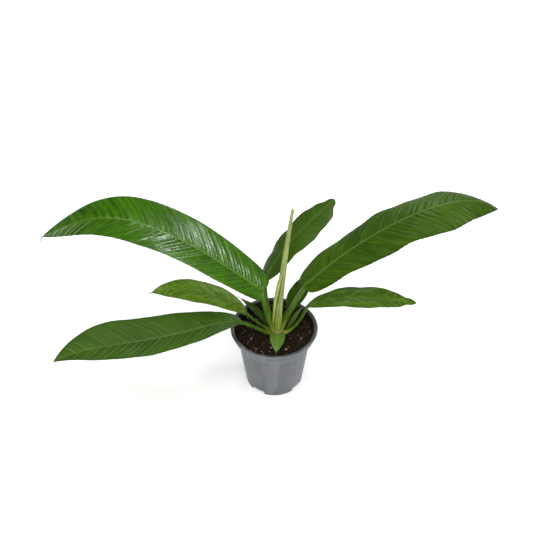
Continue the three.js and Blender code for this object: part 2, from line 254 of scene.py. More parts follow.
def leaf_material(name, deep, fresh, vein, vein_strength, mottle=0.0, mottled=(0.15, 0.26, 0.02),
                  margin=(0.02, 0.035, 0.01), gloss=0.36, shine=0.3, margin_width=0.9, bands=0.8,
                  valley_shade=0.0):
    """The upper side of a blade, from the values that the blade's mesh holds.

    bands, the valley setting and mottle say how strongly the broad bands, the painted shade beside the
    side veins and the pale patches show. gloss is the middle roughness and shine the specular level.
    """
    g = Graph(name)
    phase = g.value("vein_phase")
    across = g.value("across_mm")
    edge = g.value("edge_mm")
    nearness = g.math("PINGPONG", phase, 0.5)  # 0 on a side vein, 0.5 half-way to the next
    cloud = g.noise(14, 2, 0.5)
    colour = g.mix(g.step(cloud, 0.3, 0.7, 0.25, 0.75), deep, fresh)
    broad = g.noise(1, 3, 0.6, g.vein_place(0.55, 0.022))
    colour = g.mix(g.step(broad, 0.47, 0.66, 0, bands), colour, fresh)
    colour = g.mix(g.step(broad, 0.34, 0.47, bands, 0), colour, deep)
    # Painted light: the crest of each bulge between two side veins is lightened towards the fresh green.
    bulge = g.step(nearness, 0.05, 0.5)
    colour = g.mix(g.math("MULTIPLY", bulge, 0.3), colour, fresh)
    streaks = g.noise(1, 3, 0.6, g.vein_place(3.1, 0.09))
    colour = g.mix(g.step(streaks, 0.42, 0.7, 0, 0.4), colour, fresh)
    fine = g.noise(900, 3, 0.6)
    # Painted shade: the strip beside each side vein is darkened, broken up by the streaks.
    if valley_shade:
        beside_vein = g.step(nearness, 0.02, 0.4, valley_shade, 0)
        shaded = g.math("MULTIPLY", beside_vein, g.step(streaks, 0.6, 0.4, 0.2, 1))
        colour = g.mix(shaded, colour, (0.012, 0.046, 0.002))
    if mottle:
        patches = g.step(g.noise(1, 5, 0.65, g.vein_place(0.9, 0.13)), 0.46, 0.62, 0, mottle)
        colour = g.mix(patches, colour, mottled)
    side_vein = g.math("MULTIPLY", g.step(nearness, 0.015, 0.1, 1, 0), g.step(edge, 1, 9))
    colour = g.mix(g.math("MULTIPLY", side_vein, vein_strength), colour, vein)
    midrib = g.step(across, g.value("rib_mm"), g.math("MULTIPLY", g.value("rib_mm"), 1.7), 1, 0)
    colour = g.mix(g.math("MULTIPLY", midrib, 0.8), colour, vein)
    beside = g.step(across, 0.8, 4, 0.1, 0)
    colour = g.mix(beside, colour, vein)
    colour = g.mix(g.step(edge, margin_width * 0.3, margin_width, 0.85, 0), colour, margin)
    grain = g.math("ADD", g.math("MULTIPLY", g.cells(1500), 0.6), g.math("MULTIPLY", fine, 0.6))
    g.set(Base_Color=colour, Roughness=g.step(g.noise(120, 4, 0.6), 0.3, 0.7, gloss - 0.05, gloss + 0.07),
          Normal=g.bump(grain, 0.2, 0.0003))
    g.shader.inputs["Specular IOR Level"].default_value = shine
    return g.material


def underside_material(name, colour_low, colour_high, vein):
    g = Graph(name)
    nearness = g.math("PINGPONG", g.value("vein_phase"), 0.5)
    colour = g.mix(g.step(g.noise(40, 4, 0.6), 0.35, 0.7), colour_low, colour_high)
    colour = g.mix(g.step(nearness, 0.0, 0.11, 0.6, 0), colour, vein)
    rib = g.step(g.value("across_mm"), 1.5, 3.2, 0.8, 0)
    colour = g.mix(rib, colour, vein)
    fine = g.noise(1100, 3, 0.6)
    return g.finish(colour, fine, 0.48, 0.62, 0.25, 0.0003)


def stalk_material(name, low, high, base, foot_height):
    """A stalk: streaked along its length, paler towards its foot."""
    g = Graph(name)
    along = g.value("along_mm")
    streaks = g.noise(260, 4, 0.6, g.stretch(1, 1, 0.12))
    colour = g.mix(g.step(streaks, 0.35, 0.68), low, high)
    colour = g.mix(g.step(along, 2, foot_height, 0.8, 0), colour, base)
    flecks = g.step(g.noise(700, 2, 0.5), 0.66, 0.74, 0, 0.35)
    colour = g.mix(flecks, colour, base)
    return g.finish(colour, streaks, 0.34, 0.5, 0.25, 0.0006, shine=0.2)


def spear_material():
    g = Graph("new_growth")
    along = g.value("along_mm")
    streaks = g.noise(330, 5, 0.65, g.stretch(1, 1, 0.1))
    colour = g.mix(g.step(streaks, 0.3, 0.7), (0.17, 0.235, 0.045), (0.35, 0.41, 0.125))
    colour = g.mix(g.step(along, 4, 45, 0.9, 0), colour, (0.3, 0.38, 0.03))
    colour = g.mix(g.step(along, 140, 206, 0, 0.45), colour, (0.33, 0.39, 0.12))
    colour = g.mix(g.step(g.value("seam"), 0.0, 1.0, 0, 0.75), colour, (0.09, 0.15, 0.02))
    # Painted shade on the rolled leaf beside the sheath's free edge.
    colour = g.mix(g.step(g.value("slit_shade"), 0.1, 0.8, 0, 0.9), colour, (0.1, 0.14, 0.012))
    return g.finish(colour, streaks, 0.42, 0.58, 0.3, 0.0005)


def sheath_material():
    g = Graph("sheath")
    streaks = g.noise(420, 5, 0.65, g.stretch(1, 1, 0.08))
    colour = g.mix(g.step(streaks, 0.3, 0.7), (0.32, 0.41, 0.07), (0.55, 0.62, 0.2))
    colour = g.mix(g.step(g.value("along_mm"), 2, 40, 0.85, 0), colour, (0.46, 0.52, 0.06))
    colour = g.mix(g.step(g.value("edge_mm"), 0.2, 1.2, 0.3, 0), colour, (0.3, 0.3, 0.08))
    return g.finish(colour, streaks, 0.45, 0.6, 0.35, 0.0005)


def dry_material():
    g = Graph("dry_tip")
    grain = g.noise(900, 4, 0.6)
    colour = g.mix(g.step(grain, 0.3, 0.7), (0.1, 0.055, 0.035), (0.26, 0.165, 0.115))
    return g.finish(colour, grain, 0.6, 0.8, 0.3, 0.0003)


def stem_material():
    g = Graph("stem_bark")
    rings = g.noise(240, 5, 0.6, g.stretch(0.3, 0.3, 2.2))
    colour = g.mix(g.step(rings, 0.35, 0.65), (0.1, 0.07, 0.025), (0.24, 0.2, 0.07))
    colour = g.mix(g.step(g.value("along_mm"), 9, 14, 0, 0.6), colour, (0.25, 0.25, 0.06))
    return g.finish(colour, rings, 0.6, 0.8, 0.5, 0.0012)


def mix_material(name, dark, light, scale, roughness=0.9, patch=None):
    """Crumbs, chips and fibres of the potting mix."""
    g = Graph(name)
    grain = g.noise(scale, 6, 0.65)
    colour = g.mix(g.step(grain, 0.32, 0.7), dark, light)
    if patch:
        colour = g.mix(g.step(g.noise(scale / 6, 3, 0.6), 0.5, 0.66, 0, 0.7), colour, patch)
    return g.finish(colour, grain, roughness - 0.12, roughness, 0.6, 0.0008, shine=0.12)


def pot_material(name, dark, light, flowed):
    """Satin plastic with upright flow marks and dust, painted edge highlights, painted shade at the mouth."""
    g = Graph(name)
    cloud = g.noise(22, 4, 0.6)
    colour = g.mix(g.step(cloud, 0.3, 0.7), dark, light)
    flow = g.noise(60, 3, 0.5, g.stretch(1.1, 1.1, 0.1))
    colour = g.mix(g.step(flow, 0.42, 0.66, 0, 0.7), colour, flowed)
    # Painted highlight: the rim and ledge edges are lightened, broken up by noise.
    edge_highlight = g.math("MULTIPLY", g.value("edge_highlight"), g.step(g.noise(90, 4, 0.6), 0.3, 0.6, 0.35, 1))
    colour = g.mix(g.math("MULTIPLY", edge_highlight, 0.75), colour, (0.27, 0.285, 0.315))
    dust = g.step(g.noise(900, 4, 0.7), 0.62, 0.78, 0, 0.3)
    colour = g.mix(dust, colour, flowed)
    # Painted shade: the rim's inner edge is darkened towards the mouth, broken up by noise.
    mouth_shade = g.math("MULTIPLY", g.value("mouth"), g.step(g.noise(150, 4, 0.6), 0.25, 0.7, 0.3, 0.95))
    colour = g.mix(mouth_shade, colour, (0.05, 0.05, 0.052))
    scuffs = g.noise(500, 3, 0.6, g.stretch(1, 1, 0.25))
    g.set(Base_Color=colour, Roughness=g.step(flow, 0.3, 0.7, 0.36, 0.46),
          Normal=g.bump(scuffs, 0.12, 0.0002))
    return g.material


# ------------------------ meshes


def add(name, data):
    thing = bpy.data.objects.new(name, data)
    bpy.context.collection.objects.link(thing)
    return thing


def make(name, points, faces, materials, replaces=None, face_materials=None, values=None,
         smooth=True):
    """A piece from points in millimetres around the pot's axis. values holds a number for each point."""
    mesh = bpy.data.meshes.new(name)
    places = ((np.asarray(points, float) + AXIS) * MM).tolist()
    mesh.from_pydata(places, [], [list(map(int, face)) for face in faces])
    for material in materials:
        mesh.materials.append(material)
    if face_materials is not None:
        mesh.polygons.foreach_set("material_index", np.asarray(face_materials, np.int32))
    for key, numbers in (values or {}).items():
        attribute = mesh.attributes.new(key, "FLOAT", "POINT")
        attribute.data.foreach_set("value", np.ravel(numbers).astype(np.float32))
    mesh.polygons.foreach_set("use_smooth", [smooth] * len(mesh.polygons))
    mesh.update()
    piece = add(name, mesh)
    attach(piece, "root")
    if replaces:
        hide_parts(replaces)
    return piece


def grid(rows, columns, start=0, wrap=False):
    """Quads of a grid of points. wrap joins the last column to the first."""
    i = np.arange(rows - 1)[:, None]
    j = np.arange(columns if wrap else columns - 1)[None, :]
    following = (j + 1) % columns
    low, high = i * columns, (i + 1) * columns
    corners = (low + j, high + j, high + following, low + following)
    return np.stack([np.broadcast_to(c, (rows - 1, j.size)) for c in corners], -1).reshape(-1, 4) + start


def sheet_faces(rows, columns):
    """The upper, lower and rim faces of a closed sheet whose lower points follow its upper ones."""
    count = rows * columns
    rim = np.concatenate([
        np.arange(columns), np.arange(1, rows) * columns + columns - 1,
        (rows - 1) * columns + np.arange(columns - 2, -1, -1), np.arange(rows - 2, 0, -1) * columns,
    ])
    after = np.roll(rim, -1)
    rim_faces = np.stack([rim, after, after + count, rim + count], -1)
    return grid(rows, columns), grid(rows, columns, count)[:, ::-1], rim_faces


def capped_faces(rows, columns):
    """The faces of a stack of rings, with a fan at each end around the two points that follow them."""
    first, last = rows * columns, rows * columns + 1
    ring = np.arange(columns)
    following = (ring + 1) % columns
    start = (rows - 1) * columns
    faces = grid(rows, columns, wrap=True)[:, ::-1].tolist()
    faces += [[first, b, a] for a, b in zip(ring, following)]
    faces += [[last, start + a, start + b] for a, b in zip(ring, following)]
    return faces


def bezier(points, t):
    rows = [np.repeat(np.array([p], float), len(t), 0) for p in points]
    while len(rows) > 1:
        rows = [a + (b - a) * t[:, None] for a, b in zip(rows, rows[1:])]
    return rows[0]


def along(points, shares):
    """Points and directions at shares of a Bezier curve's length, and the length."""
    t = np.linspace(0, 1, 401)
    run = np.concatenate([[0], np.cumsum(np.linalg.norm(np.diff(bezier(points, t), axis=0), axis=1))])
    at = np.interp(shares * run[-1], run, t)
    nudge = 1e-4
    ahead = bezier(points, np.clip(at + nudge, 0, 1)) - bezier(points, np.clip(at - nudge, 0, 1))
    return bezier(points, at), ahead / np.linalg.norm(ahead, axis=1)[:, None], run[-1]


def frames(points, shares):
    """Points of a curve with the forward, level side (left) and upward directions there."""
    centre, forward, length = along(points, shares)
    side = np.stack([-forward[:, 1], forward[:, 0], 0 * forward[:, 0]], 1)
    side /= np.linalg.norm(side, axis=1)[:, None]
    return centre, forward, side, np.cross(forward, side), length


def smooth_step(value, low, high):
    t = np.clip((value - low) / (high - low), 0, 1)
    return t * t * (3 - 2 * t)


def hump(value, width):
    """1 where the value is 0, falling away smoothly to both sides."""
    return np.exp(-((value / width) ** 2))


def turns(count):
    """Equal steps once round, in radians."""
    return np.linspace(0, 2 * math.pi, count, endpoint=False)


def passage(values, shares):
    """A value that passes from its first to its last number, drawn towards the middle one."""
    first, middle, last = values
    return (1 - shares) ** 2 * first + 2 * shares * (1 - shares) * middle + shares**2 * last


def half_width(leaf, shares):
    before = np.clip((leaf["peak"] - shares) / leaf["peak"], 0, 1)
    after = np.clip((shares - leaf["peak"]) / (1 - leaf["peak"]), 0, 1)
    outline = np.where(shares < leaf["peak"], (1 - before**2.5) ** leaf["base_end"],
                       (1 - after**2) ** leaf["tip_end"])
    place, depth = leaf.get("neck", (0, 0))
    outline = outline * (1 - depth * hump(shares - place, 0.045))
    return np.maximum(leaf["half_width"] * outline, 0.35)


def vein_phases(leaf, shares, v, reach, length):
    """Counts the side veins. They leave the midrib forwards and bend to the tip near the margin."""
    bend = leaf.get("bend", 0.23)
    start = (shares * length - 0.6 * reach - bend * reach**2 / leaf["half_width"]) / length
    crowded = leaf.get("crowd", 0.1) * np.sin(math.pi * start)
    phase = leaf["veins"] * (start + crowded) + np.where(v > 0, 0.45, 0.0) + 4
    return phase + 0.12 * np.sin(2.3 * phase) + 0.05 * np.sin(5.1 * phase + 1)


def pillows(phase, between, v):
    """The bulge between two side veins, skewed and a little different each time."""
    uneven = 1 + 0.3 * np.sin(1.9 * phase + 2 * v) + 0.2 * np.sin(3.7 * phase)
    return np.sin(math.pi * between) ** 0.75 * (1 + 0.3 * np.cos(math.pi * between)) * uneven - 0.6


def margin_waves(leaf, shares, v):
    along = 2 * math.pi * shares
    left_count, left_start = leaf.get("left_wave", (3.2, 0.6))
    right_count, right_start = leaf.get("right_wave", (2.7, 2.4))
    left = np.sin(left_count * along + left_start)
    right = np.sin(right_count * along + right_start)
    ripple = 0.3 * np.sin(6.7 * along + 1 + v)
    return (np.where(v > 0, left, right) + ripple) * leaf["wave"] * np.abs(v) ** 2.5


def blade(place, leaf, upper, under):
    """A closed blade: quilted top, ribbed underside and a thin margin."""
    rows, columns = FINE_GRID if leaf["half_width"] > LARGE else COARSE_GRID
    steps = np.linspace(0, 1, rows)
    shares = steps - END_CROWDING * np.sin(2 * math.pi * steps) / (2 * math.pi)
    centre, forward, side, up, length = frames(leaf["midrib"], shares)
    marks = np.linspace(-1, 1, columns)
    v = (np.sign(marks) * np.abs(marks) ** RIB_CROWDING)[None, :]  # -1 and 1 at the two margins
    roll = np.radians(passage(leaf["roll"], shares))[:, None]
    fold = np.radians(leaf["fold"][0] + (leaf["fold"][1] - leaf["fold"][0]) * shares)[:, None]
    left = np.cos(roll) * side + np.sin(roll) * up
    normal = np.cos(roll) * up - np.sin(roll) * side
    width = half_width(leaf, shares)[:, None]
    reach = np.abs(v) * width  # distance from the midrib, millimetres
    shares = shares[:, None]
    ends = np.sin(math.pi * np.clip(shares, 0, 1)) ** 0.5 * (1 - 0.6 * smooth_step(shares, 0.78, 0.95))

    phase = vein_phases(leaf, shares, v, reach, length)
    between = phase - np.floor(phase)
    inside = smooth_step(reach, 0.5, 4) * (1 - 0.7 * smooth_step(np.abs(v), 0.8, 1))
    calm = 1 - leaf.get("calm", 0) * smooth_step(-v, 0.25, 0.6)
    quilt = leaf["quilt"] * pillows(phase, between, v) * inside * ends * calm
    groove = -0.55 * hump(reach, 1.3) * (1 - shares)
    hang = leaf["droop"] * v**2 * width / leaf["half_width"]
    lift = reach * np.sin(fold) - hang + quilt + margin_waves(leaf, shares, v) * ends + groove
    # The base's two lobes reach a little back past the stalk.
    lobe = 0.16 * width * v**2 * np.exp(-shares * length / (0.35 * leaf["half_width"]))
    top = (centre[:, None] + left[:, None] * (v * width * np.cos(fold))[..., None]
           + normal[:, None] * lift[..., None] - forward[:, None] * lobe[..., None])
    rib = (2.3 * (1 - shares) ** 0.8 + 0.25) * min(1, leaf["half_width"] / 30 + 0.25)
    vein_ridge = 0.35 * leaf["quilt"] * hump(np.minimum(between, 1 - between), 0.09) * inside
    thickness = 0.45 + rib * hump(reach, 0.9 * rib + 0.4) + vein_ridge - 0.2 * np.abs(v)
    thickness = np.minimum(thickness, 0.25 + 0.5 * rib + 0.1 * width)
    bottom = top - normal[:, None] * thickness[..., None]

    points = np.concatenate([top.reshape(-1, 3), bottom.reshape(-1, 3)])
    faces = sheet_faces(rows, columns)
    looks = [0] * len(faces[0]) + [1] * (len(faces[1]) + len(faces[2]))
    margin = np.minimum(width - reach, (1 - shares) * length * 0.6)
    rib_width = np.broadcast_to(0.22 + 0.4 * (1 - shares) * min(1, leaf["half_width"] / 35), reach.shape)
    values = {"vein_phase": phase, "across_mm": reach, "edge_mm": margin, "rib_mm": rib_width}
    doubled = {key: np.tile(numbers.ravel(), 2) for key, numbers in values.items()}
    return make(f"blade_{place}", points, np.concatenate(faces), [upper, under], f"leaf_{place}",
                looks, doubled)


def tube(name, path, outline, rows, columns, material, replaces=None, more_values=None):
    """A closed tube along a curve. outline(shares, angles) gives the radius in millimetres across
    the side and up directions, as two arrays, for angles where a quarter turn is the upper side."""
    shares = np.linspace(0, 1, rows)
    angles = turns(columns)
    centre, _, side, up, length = frames(path, shares)
    out_side, out_up = outline(shares[:, None], angles[None, :])
    rings = centre[:, None] + side[:, None] * out_side[..., None] + up[:, None] * out_up[..., None]
    points = np.concatenate([rings.reshape(-1, 3), centre[:1], centre[-1:]])
    run = np.broadcast_to(shares[:, None] * length, (rows, columns)).ravel()
    values = {"along_mm": np.concatenate([run, [0, length]])}
    for key, numbers in (more_values or {}).items():
        spread = np.broadcast_to(numbers(shares[:, None], angles[None, :]), (rows, columns)).ravel()
        values[key] = np.concatenate([spread, [0, 0]])
    return make(name, points, capped_faces(rows, columns), [material], replaces, None, values)


def stalk(place, leaf, material):
    """A channelled stalk. Its foot clasps the stem and its top runs on under the blade."""
    centre = along(leaf["midrib"], np.array([0.0, 0.03]))[0]
    path = [np.array(p, float) for p in leaf["stalk"]] + [centre[0]]
    towards_stem = np.array([STEM["x"], STEM["y"], path[0][2] - 3]) - path[0]
    path[0] = path[0] + 0.45 * towards_stem
    path.append(centre[1] - np.array([0, 0, 0.6]))
    low, high = leaf["stalk_radius"]

    def outline(shares, angles):
        radius = low + (high - low) * shares
        clasp = 1 + 0.35 * np.exp(-shares / 0.15)
        knee = 1 + 0.14 * hump(shares - 0.93, 0.05)
        close = np.sqrt(np.clip(1 - smooth_step(shares, 0.975, 1.0), 0.02, 1))
        upper_side = hump(angles - math.pi / 2, 0.5)
        channel = 1 - 0.32 * upper_side * (1 - smooth_step(shares, 0.85, 1))
        size = radius * knee * channel * close
        return size * clasp * np.cos(angles), size * np.sin(angles) * (2 - clasp) ** 0.5

    return tube(f"stalk_{place}_skin", path, outline, 90, 28, material, f"stalk_{place}")


def spear_radius(shares):
    return SPEAR["tip"] + (SPEAR["base"] - SPEAR["tip"]) * (1 - shares**2)


def new_leaf(material):
    """The rolled leaf: each turn ends in an edge that winds slowly round the roll."""
    def turn(shares, angles):
        return ((angles - 2.2 - 2.6 * shares) / (2 * math.pi)) % 1

    def outline(shares, angles):
        step = 0.5 * np.minimum(1, spear_radius(shares) / 4)
        radius = spear_radius(shares) + step * (turn(shares, angles) - 0.5)
        radius = radius * np.sqrt(np.clip(1 - smooth_step(shares, 0.985, 1.0) ** 2, 0.1, 1))
        return radius * np.cos(angles), radius * np.sin(angles)

    def seam(shares, angles):
        share = turn(shares, angles)
        return hump(np.minimum(share, 1 - share), 0.022) * (1 - smooth_step(shares, 0.95, 1))

    def slit_shade(shares, angles):
        """Painted shade: the dark strip on the rolled leaf beside the loose sheath's free edge."""
        rise = np.clip(shares / SHEATH["height"], 0, 1)
        beside = angles - sheath_edges(rise)[0]
        return (smooth_step(beside, -0.3, 0.1) * (1 - smooth_step(beside, 0.3, 0.55))
                * smooth_step(rise, 0.4, 0.55) * (1 - smooth_step(rise, 0.93, 1.02)))

    return tube("rolled_leaf", SPEAR["path"], outline, 260, 96, material, "rolled_new_leaf",
                {"seam": seam, "slit_shade": slit_shade})


def sheath_edges(rise):
    """The angles of the sheath's front and back edges, which meet at its tip."""
    front = SHEATH["front"] + (SHEATH["tip"] - SHEATH["front"]) * rise**1.2
    back = SHEATH["back"] + (SHEATH["tip"] - 0.12 - SHEATH["back"]) * rise**2
    return front, back


def sheath(material):
    """A thin open sheath around the new leaf's lower part, narrowing to a point."""
    rows, columns = 120, 41
    rise = np.linspace(0, 1, rows)
    shares = rise * SHEATH["height"]
    centre, _, side, up, length = frames(SPEAR["path"], shares)
    front, back = sheath_edges(rise)
    wrap = front - back
    marks = np.linspace(0.5, -0.5, columns)
    angles = ((front + back) / 2)[:, None] + wrap[:, None] * marks[None, :]
    flare = 1.2 * hump(rise - 0.6, 0.25)[:, None] * np.clip(marks[None, :] * 2, 0, 1) ** 2
    loose = 2.2 * smooth_step(rise, 0, 0.15) * (1 - smooth_step(rise, 0.45, 0.95))
    flare = flare + loose[:, None] * hump(angles - SHEATH["loose_side"], 0.9)
    inner = spear_radius(shares)[:, None] + 0.45 + flare + 0.6 * smooth_step(rise, 0.85, 1)[:, None]
    thin = 0.8 - 0.5 * np.abs(marks[None, :] * 2) ** 3
    outward = side[:, None] * np.cos(angles)[..., None] + up[:, None] * np.sin(angles)[..., None]
    outer = centre[:, None] + outward * (inner + thin)[..., None]
    inside = centre[:, None] + outward * inner[..., None]
    faces = np.concatenate(sheet_faces(rows, columns))
    edge = np.broadcast_to((0.5 - np.abs(marks[None, :])) * (wrap * 6)[:, None], (rows, columns))
    run = np.broadcast_to((shares * length)[:, None], (rows, columns))
    values = {"edge_mm": np.tile(edge.ravel(), 2), "along_mm": np.tile(run.ravel(), 2)}
    points = np.concatenate([outer.reshape(-1, 3), inside.reshape(-1, 3)])
    return make("sheath", points, faces, [material], "spear_sheath", None, values)


def dry_thread(name, start, bends, radius, material):
    """The dried point of a leaf."""
    path = [np.array(start, float)] + [np.array(start, float) + np.array(b, float) for b in bends]

    def outline(shares, angles):
        size = radius * (1 - 0.85 * shares) * (1 + 0.15 * np.sin(9 * shares + 3 * angles))
        return size * np.cos(angles), size * np.sin(angles)

    return tube(name, path, outline, 24, 8, material)


def stem(material):
    """The stem above the potting mix, ringed by the scars of old leaves."""
    rows, columns = 60, 64
    height = np.linspace(STEM["shown_from"], STEM["top"] + 1.5, rows)
    angles = turns(columns)
    rise, turn = height[:, None], angles[None, :]
    scars = 0.45 * np.abs(np.sin((rise + 1.2 * np.sin(turn * 2)) * math.pi / STEM["scar_spacing"])) ** 0.5
    closing = np.sqrt(np.clip(1 - ((height - STEM["top"] + 3) / 4.6).clip(0, 1) ** 2, 0.001, 1))
    radius = (STEM["radius"] - 0.6 + scars + 0.5 * np.sin(3 * turn + 1)) * closing[:, None]
    x = STEM["x"] + radius * np.cos(angles)
    y = STEM["y"] + radius * np.sin(angles)
    z = np.broadcast_to(rise, radius.shape)
    points = np.stack([x, y, z], -1).reshape(-1, 3)
    ends = np.array([[STEM["x"], STEM["y"], height[0]], [STEM["x"], STEM["y"], height[-1]]])
    run = np.concatenate([(z - STEM["shown_from"]).ravel(), [0, STEM["top"] - STEM["shown_from"]]])
    faces = capped_faces(rows, columns)
    points = np.concatenate([points, ends])
    return make("stem_top", points, faces, [material], "stem", None, {"along_mm": run})


# ------------------------ potting mix


def inner_wall(height):
    share = height / POT["shoulder_height"]
    return POT["foot_radius"] + (POT["shoulder_radius"] - POT["foot_radius"]) * share - POT["wall"]


def soil_height(x, y):
    """Height of the potting mix: uneven, and a little higher around the stem and at the wall."""
    place = Vector((x / 9, y / 9, 0))
    rough = 1.1 * noise.noise(place) + 0.8 * noise.noise(place * 2.7) + 0.5 * noise.noise(place * 7)
    near = math.hypot(x - STEM["x"], y - STEM["y"])
    dish = 2.6 * float(smooth_step(math.hypot(x, y), 36, 52))
    return SOIL_SURFACE + 0.2 + rough + dish + 1.6 * math.exp(-((near / 17) ** 2))


def soil(material):
    """The whole mass of mix: an uneven top, the side against the pot and the underside."""
    columns = 220
    radii = np.concatenate([[0.5], np.linspace(2, innermost_edge(), 70)])
    angles = turns(columns)
    points = []
    for radius in radii:
        for angle in angles:
            x, y = radius * math.cos(angle), radius * math.sin(angle)
            points.append((x, y, soil_height(x, y)))
    underside = POT["floor_height"] + POT["floor_thickness"] + 0.3
    side_heights = (84.6, 82, 60, 35, underside)
    for height in side_heights:
        radius = inner_wall(height) - 0.35
        for angle in angles:
            bump = 0.25 * noise.noise(Vector((30 * math.cos(angle), 30 * math.sin(angle), height)))
            points.append(((radius + bump) * math.cos(angle), (radius + bump) * math.sin(angle), height))
    points += [(0, 0, soil_height(0, 0)), (0, 0, underside)]
    # These rings run downwards, so their faces are turned over.
    faces = [face[::-1] for face in capped_faces(len(radii) + len(side_heights), columns)]
    return make("potting_mix", points, faces, [material], "potting_soil")


def innermost_edge():
    return POT["mouth_radius"] - 0.7


def scatter(radius_limit):
    """A random place on the potting mix, clear of the stem."""
    while True:
        radius = radius_limit * math.sqrt(RANDOM.random())
        angle = 2 * math.pi * RANDOM.random()
        x, y = radius * math.cos(angle), radius * math.sin(angle)
        if math.hypot(x - STEM["x"], y - STEM["y"]) > STEM["radius"] + 0.5:
            return x, y


def chunk(x, y, size, flat, sides=7):
    """An angular crumb: three rings of jittered points and two ends."""
    turn = 2 * math.pi * RANDOM.random()
    tilt = RANDOM.normal(0, 0.35, 2)
    long = 1 + 0.9 * RANDOM.random()
    points = []
    for level, spread in ((-0.6, 0.7), (0.0, 1.0), (0.6, 0.65)):
        for k in range(sides):
            angle = turn + 2 * math.pi * k / sides
            reach = size * spread * (0.75 + 0.5 * RANDOM.random())
            points.append((long * reach * math.cos(angle), reach * math.sin(angle), level * size * flat))
    points += [(0, 0, -0.9 * size * flat), (0, 0, 0.9 * size * flat)]
    spin = 2 * math.pi * RANDOM.random()
    placed = []
    base = soil_height(x, y) + size * flat * 0.35
    for px, py, pz in points:
        pz += tilt[0] * px + tilt[1] * py
        placed_x = x + px * math.cos(spin) - py * math.sin(spin)
        placed_y = y + px * math.sin(spin) + py * math.cos(spin)
        placed.append((placed_x, placed_y, base + pz))
    faces = []
    for level in range(2):
        for k in range(sides):
            a, b = level * sides + k, level * sides + (k + 1) % sides
            faces.append((a, b, b + sides, a + sides))
    for k in range(sides):
        after = (k + 1) % sides
        faces.append((3 * sides, after, k))
        faces.append((3 * sides + 1, 2 * sides + k, 2 * sides + after))
    return placed, faces


def chunks(name, count, size_low, size_high, flat, material):
    """Crumbs scattered over the mix, joined into one piece, with more small ones than large."""
    points, faces = [], []
    for _ in range(count):
        x, y = scatter(innermost_edge() - CRUMB_CLEARANCE)
        size = size_low + (size_high - size_low) * RANDOM.random() ** 2
        new_points, new_faces = chunk(x, y, size, flat)
        faces += [[len(points) + k for k in face] for face in new_faces]
        points += new_points
    return make(name, points, faces, [material], smooth=False)


def fibres(name, count, material):
    """Short bent strands of coir and root lying on the mix."""
    points, faces = [], []
    for _ in range(count):
        x, y = scatter(innermost_edge() - 5)
        heading = 2 * math.pi * RANDOM.random()
        bend = RANDOM.normal(0, 0.5)
        length = 3 + 9 * RANDOM.random() ** 1.5
        radius = 0.13 + 0.17 * RANDOM.random()
        start = len(points)
        steps, sides = 7, 4
        for k in range(steps):
            t = k / (steps - 1)
            way = heading + bend * t * 2
            px = x + length * (t - 0.5) * math.cos(way)
            py = y + length * (t - 0.5) * math.sin(way)
            far = math.hypot(px, py)
            furthest = innermost_edge() - 0.5
            if far > furthest:
                px, py = px * furthest / far, py * furthest / far
            pz = soil_height(px, py) + 0.5 + 1.2 * math.sin(math.pi * t) * RANDOM.random()
            thin = radius * (1 - 0.6 * abs(2 * t - 1) ** 2)
            for corner in range(sides):
                sideways = thin * math.cos(corner * 2 * math.pi / sides)
                upwards = thin * math.sin(corner * 2 * math.pi / sides)
                points.append((px - sideways * math.sin(way), py + sideways * math.cos(way),
                               pz + upwards))
        for k in range(steps - 1):
            for corner in range(sides):
                a = start + sides * k + corner
                b = start + sides * k + (corner + 1) % sides
                faces.append((a, b, b + sides, a + sides))
        faces.append((start + 3, start + 2, start + 1, start))
        last = start + sides * (steps - 1)
        faces.append((last, last + 1, last + 2, last + 3))
    return make(name, points, faces, [material])


# ------------------------ pot


def pot_section():
    """The pot's section as (radius, height) pairs: up the outside and over the rim, down the inside
    to the axis, and back out under the floor. The fourth list is the edges that get a painted highlight."""
    top, rim, foot = POT["height"], POT["rim_radius"], POT["foot_radius"]
    rim_low = top - POT["rim_thickness"]
    shoulder, shoulder_top = POT["shoulder_radius"], POT["shoulder_height"]
    collar, ledge = POT["collar_radius"], POT["collar_bottom"]
    floor_top = POT["floor_height"] + POT["floor_thickness"]
    foot_inside = foot - POT["foot_width"]
    outside = [
        (foot - 0.5, 0), (foot, 0.5), (40.35, 6.5), (40.6, 8.4), (42.2, 20), (44.6, 38), (47.1, 57),
        (49.3, 74), (49.75, 77.2), (50.35, 77.9), (50.45, 78.6), (shoulder, shoulder_top - 0.4),
        (51.0, 84.2), (54.4, ledge - 1), (55.9, ledge - 0.4), (56.7, ledge + 0.3), (56.9, ledge + 1.2),
        (57.15, 91.5), (collar, 94.2), (57.6, rim_low - 0.1), (58.6, rim_low), (59.6, rim_low + 0.15),
        (rim, rim_low + 0.6), (rim, top - 0.9), (59.8, top - 0.35), (59.3, top - 0.05), (58.6, top - 0.1),
        (57.6, top - 0.2), (56.6, top - 0.3),
    ]
    inside = [
        (55.6, top - 0.5), (55.0, top - 0.7), (54.6, top - 1.2), (54.4, 93), (54.25, 89), (53.8, 87.6),
        (50.3, 84.6), (49.2, 83.4), (inner_wall(80), 80), (inner_wall(50), 50), (inner_wall(14), 14),
        (inner_wall(11), 11), (inner_wall(floor_top) - 1.2, floor_top), (20, floor_top),
        (0.01, floor_top),
    ]
    below = [
        (0.01, POT["floor_height"]), (20, POT["floor_height"]), (foot_inside - 0.8, POT["floor_height"]),
        (foot_inside, POT["floor_height"] - 0.8), (foot_inside, 0.5), (foot_inside + 0.5, 0),
    ]
    # The edges that get a painted highlight.
    edge_highlight = [(rim, top - 0.9), (59.8, top - 0.35), (57.6, rim_low - 0.1), (56.7, ledge + 0.3),
            (55.9, ledge - 0.4), (50.35, 77.9)]
    return outside, inside, below, edge_highlight


def notch_turns():
    """Where each notch of the foot ring starts and ends, as turns round the axis."""
    for k in range(NOTCH["count"]):
        middle = NOTCH["first"] + k * 2 * math.pi / NOTCH["count"]
        yield middle - NOTCH["angle"] / 2, middle + NOTCH["angle"] / 2


